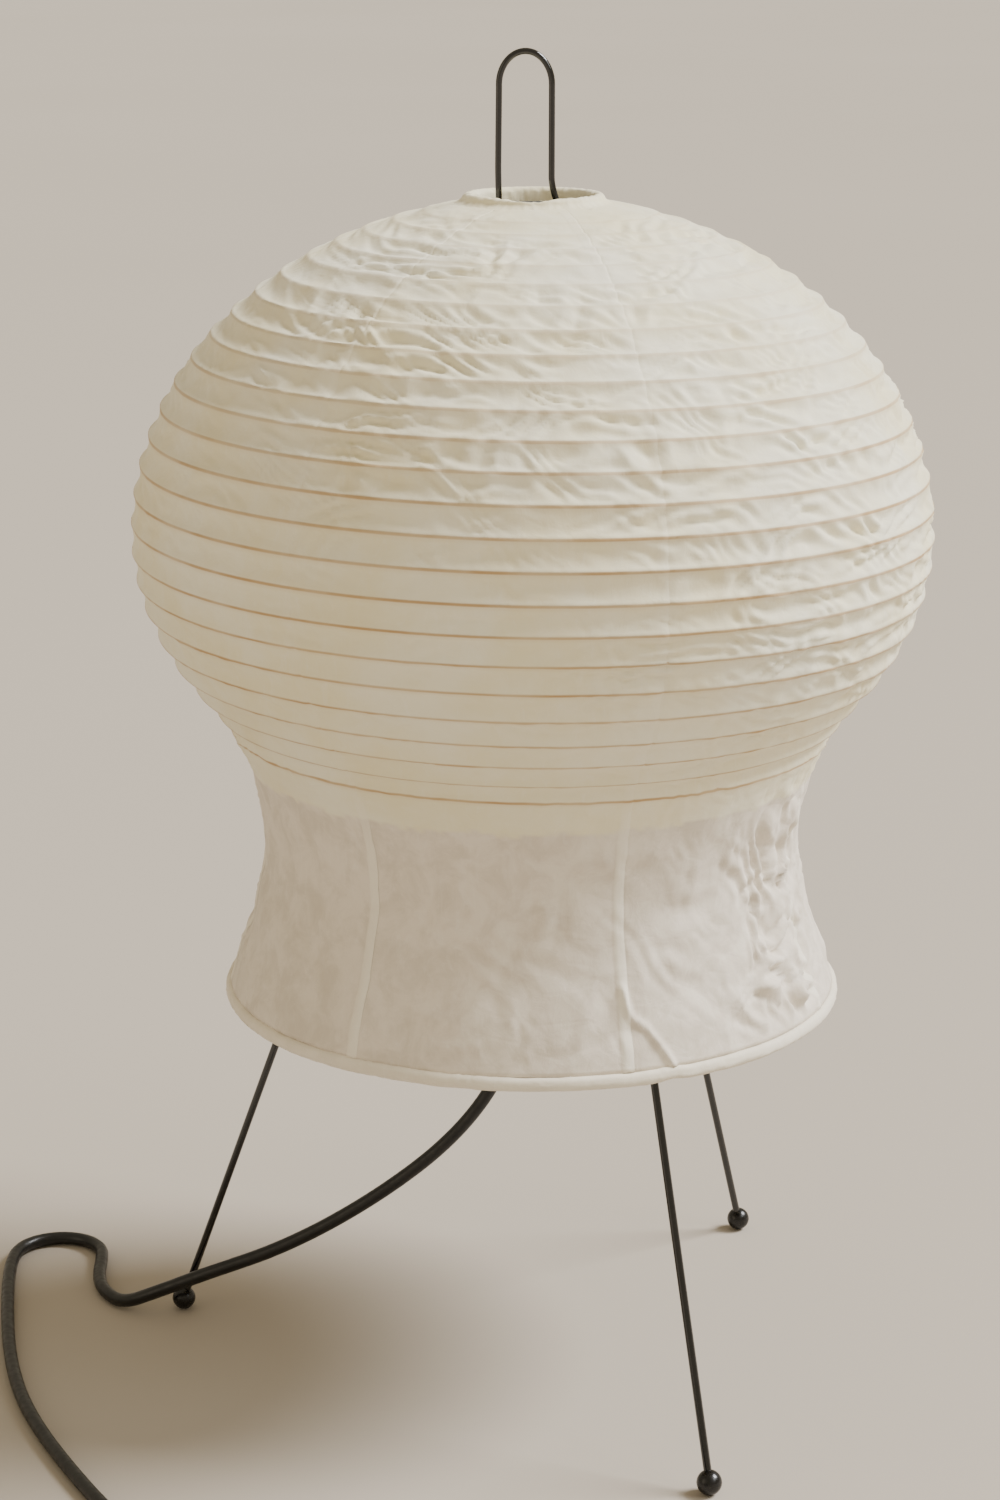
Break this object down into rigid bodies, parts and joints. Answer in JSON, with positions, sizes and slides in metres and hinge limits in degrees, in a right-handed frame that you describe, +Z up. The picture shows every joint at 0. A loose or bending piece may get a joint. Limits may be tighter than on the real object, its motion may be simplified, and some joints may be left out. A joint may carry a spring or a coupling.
{
  "type": "paper lantern",
  "caption": "Table lantern with a ribbed white paper globe and flared skirt on a black wire tripod, with a wire handle loop, a corded lampholder, an inline switch and a coiled lead.",
  "frame": {"origin": "on the surface that the feet stand on, under the shade's axis", "axes": "+Z up along the shade's axis, -Y towards the front, +X to the right seen from the front"},
  "size_m": [0.3739, 0.4261, 0.5102],
  "materials": {
    "paper": "matt handmade mulberry paper, crumpled, slightly translucent",
    "hem_paper": "matt paper rolled over wire",
    "bamboo": "split bamboo, matt",
    "galvanised_wire": "drawn wire",
    "black_wire": "gloss black enamel",
    "black_ball": "gloss black enamel",
    "zinc_steel": "zinc plated",
    "black_phenolic": "moulded phenolic, semi-gloss",
    "porcelain": "glazed",
    "brass_shell": "rolled sheet",
    "bulb_metal": "rolled thread",
    "bulb_glass": "opal",
    "cord": "smooth gloss sheath",
    "cord_plastic": "fine moulded texture",
    "rocker_plastic": "polished",
    "pin_brass": "nickel plated",
    "tie": "soft strap"
  },
  "bodies": {
    "frame": {"paper_gore_1": "paper", "paper_gore_2": "paper", "paper_gore_3": "paper", "paper_gore_4": "paper", "paper_gore_5": "paper", "paper_gore_6": "paper", "paper_gore_7": "paper", "bamboo_rib": "bamboo", "paper_collar": "hem_paper", "top_ring": "galvanised_wire", "front_leg": "black_wire", "front_foot": "black_ball", "front_ring_hook": "black_wire", "back_leg": "black_wire", "back_foot": "black_ball", "back_ring_hook": "black_wire", "left_leg": "black_wire", "left_foot": "black_ball", "left_ring_hook": "black_wire", "hub_plate": "black_wire", "threaded_nipple": "zinc_steel", "hub_nut": "zinc_steel", "cap_nut": "zinc_steel", "handle_wire": "black_wire", "lampholder_cap": "black_phenolic", "lampholder_sleeve": "black_phenolic", "lampholder_insulator": "porcelain", "screw_shell": "brass_shell", "centre_contact": "brass_shell", "terminal_screws": "brass_shell", "cord_grip": "cord_plastic", "cord_to_switch": "cord", "cord_to_coil": "cord", "cord_to_plug": "cord", "cord_coil": "cord", "coil_tie": "tie", "switch_base": "cord_plastic", "switch_cover": "cord_plastic", "switch_screws": "zinc_steel", "plug_body": "cord_plastic", "plug_strain_relief": "cord_plastic", "plug_pins": "pin_brass"},
    "shade_hem": {"paper_hem": "hem_paper", "bottom_ring": "galvanised_wire"},
    "bulb": {"bulb_contact": "bulb_metal", "bulb_cap": "bulb_metal", "bulb_glass": "bulb_glass"},
    "rocker": {"switch_rocker": "rocker_plastic"}
  },
  "joints": [
    {"name": "shade_collapse", "type": "slide", "parent": "frame", "child": "shade_hem", "axis": [0, 0, 1], "range_m": [0, 0.25], "deforming": ["paper_gore_1", "paper_gore_2", "paper_gore_3", "paper_gore_4", "paper_gore_5", "paper_gore_6", "paper_gore_7", "bamboo_rib"]},
    {"name": "bulb_unscrew", "type": "slide", "parent": "frame", "child": "bulb", "axis": [0, 0, 1], "range_m": [0, 0.026]},
    {"name": "switch_rock", "type": "hinge", "parent": "frame", "child": "rocker", "pos_m": [-0.076, -0.186, 0.0115], "axis": [0, 1, 0], "range_deg": [-12, 0]}
  ]
}
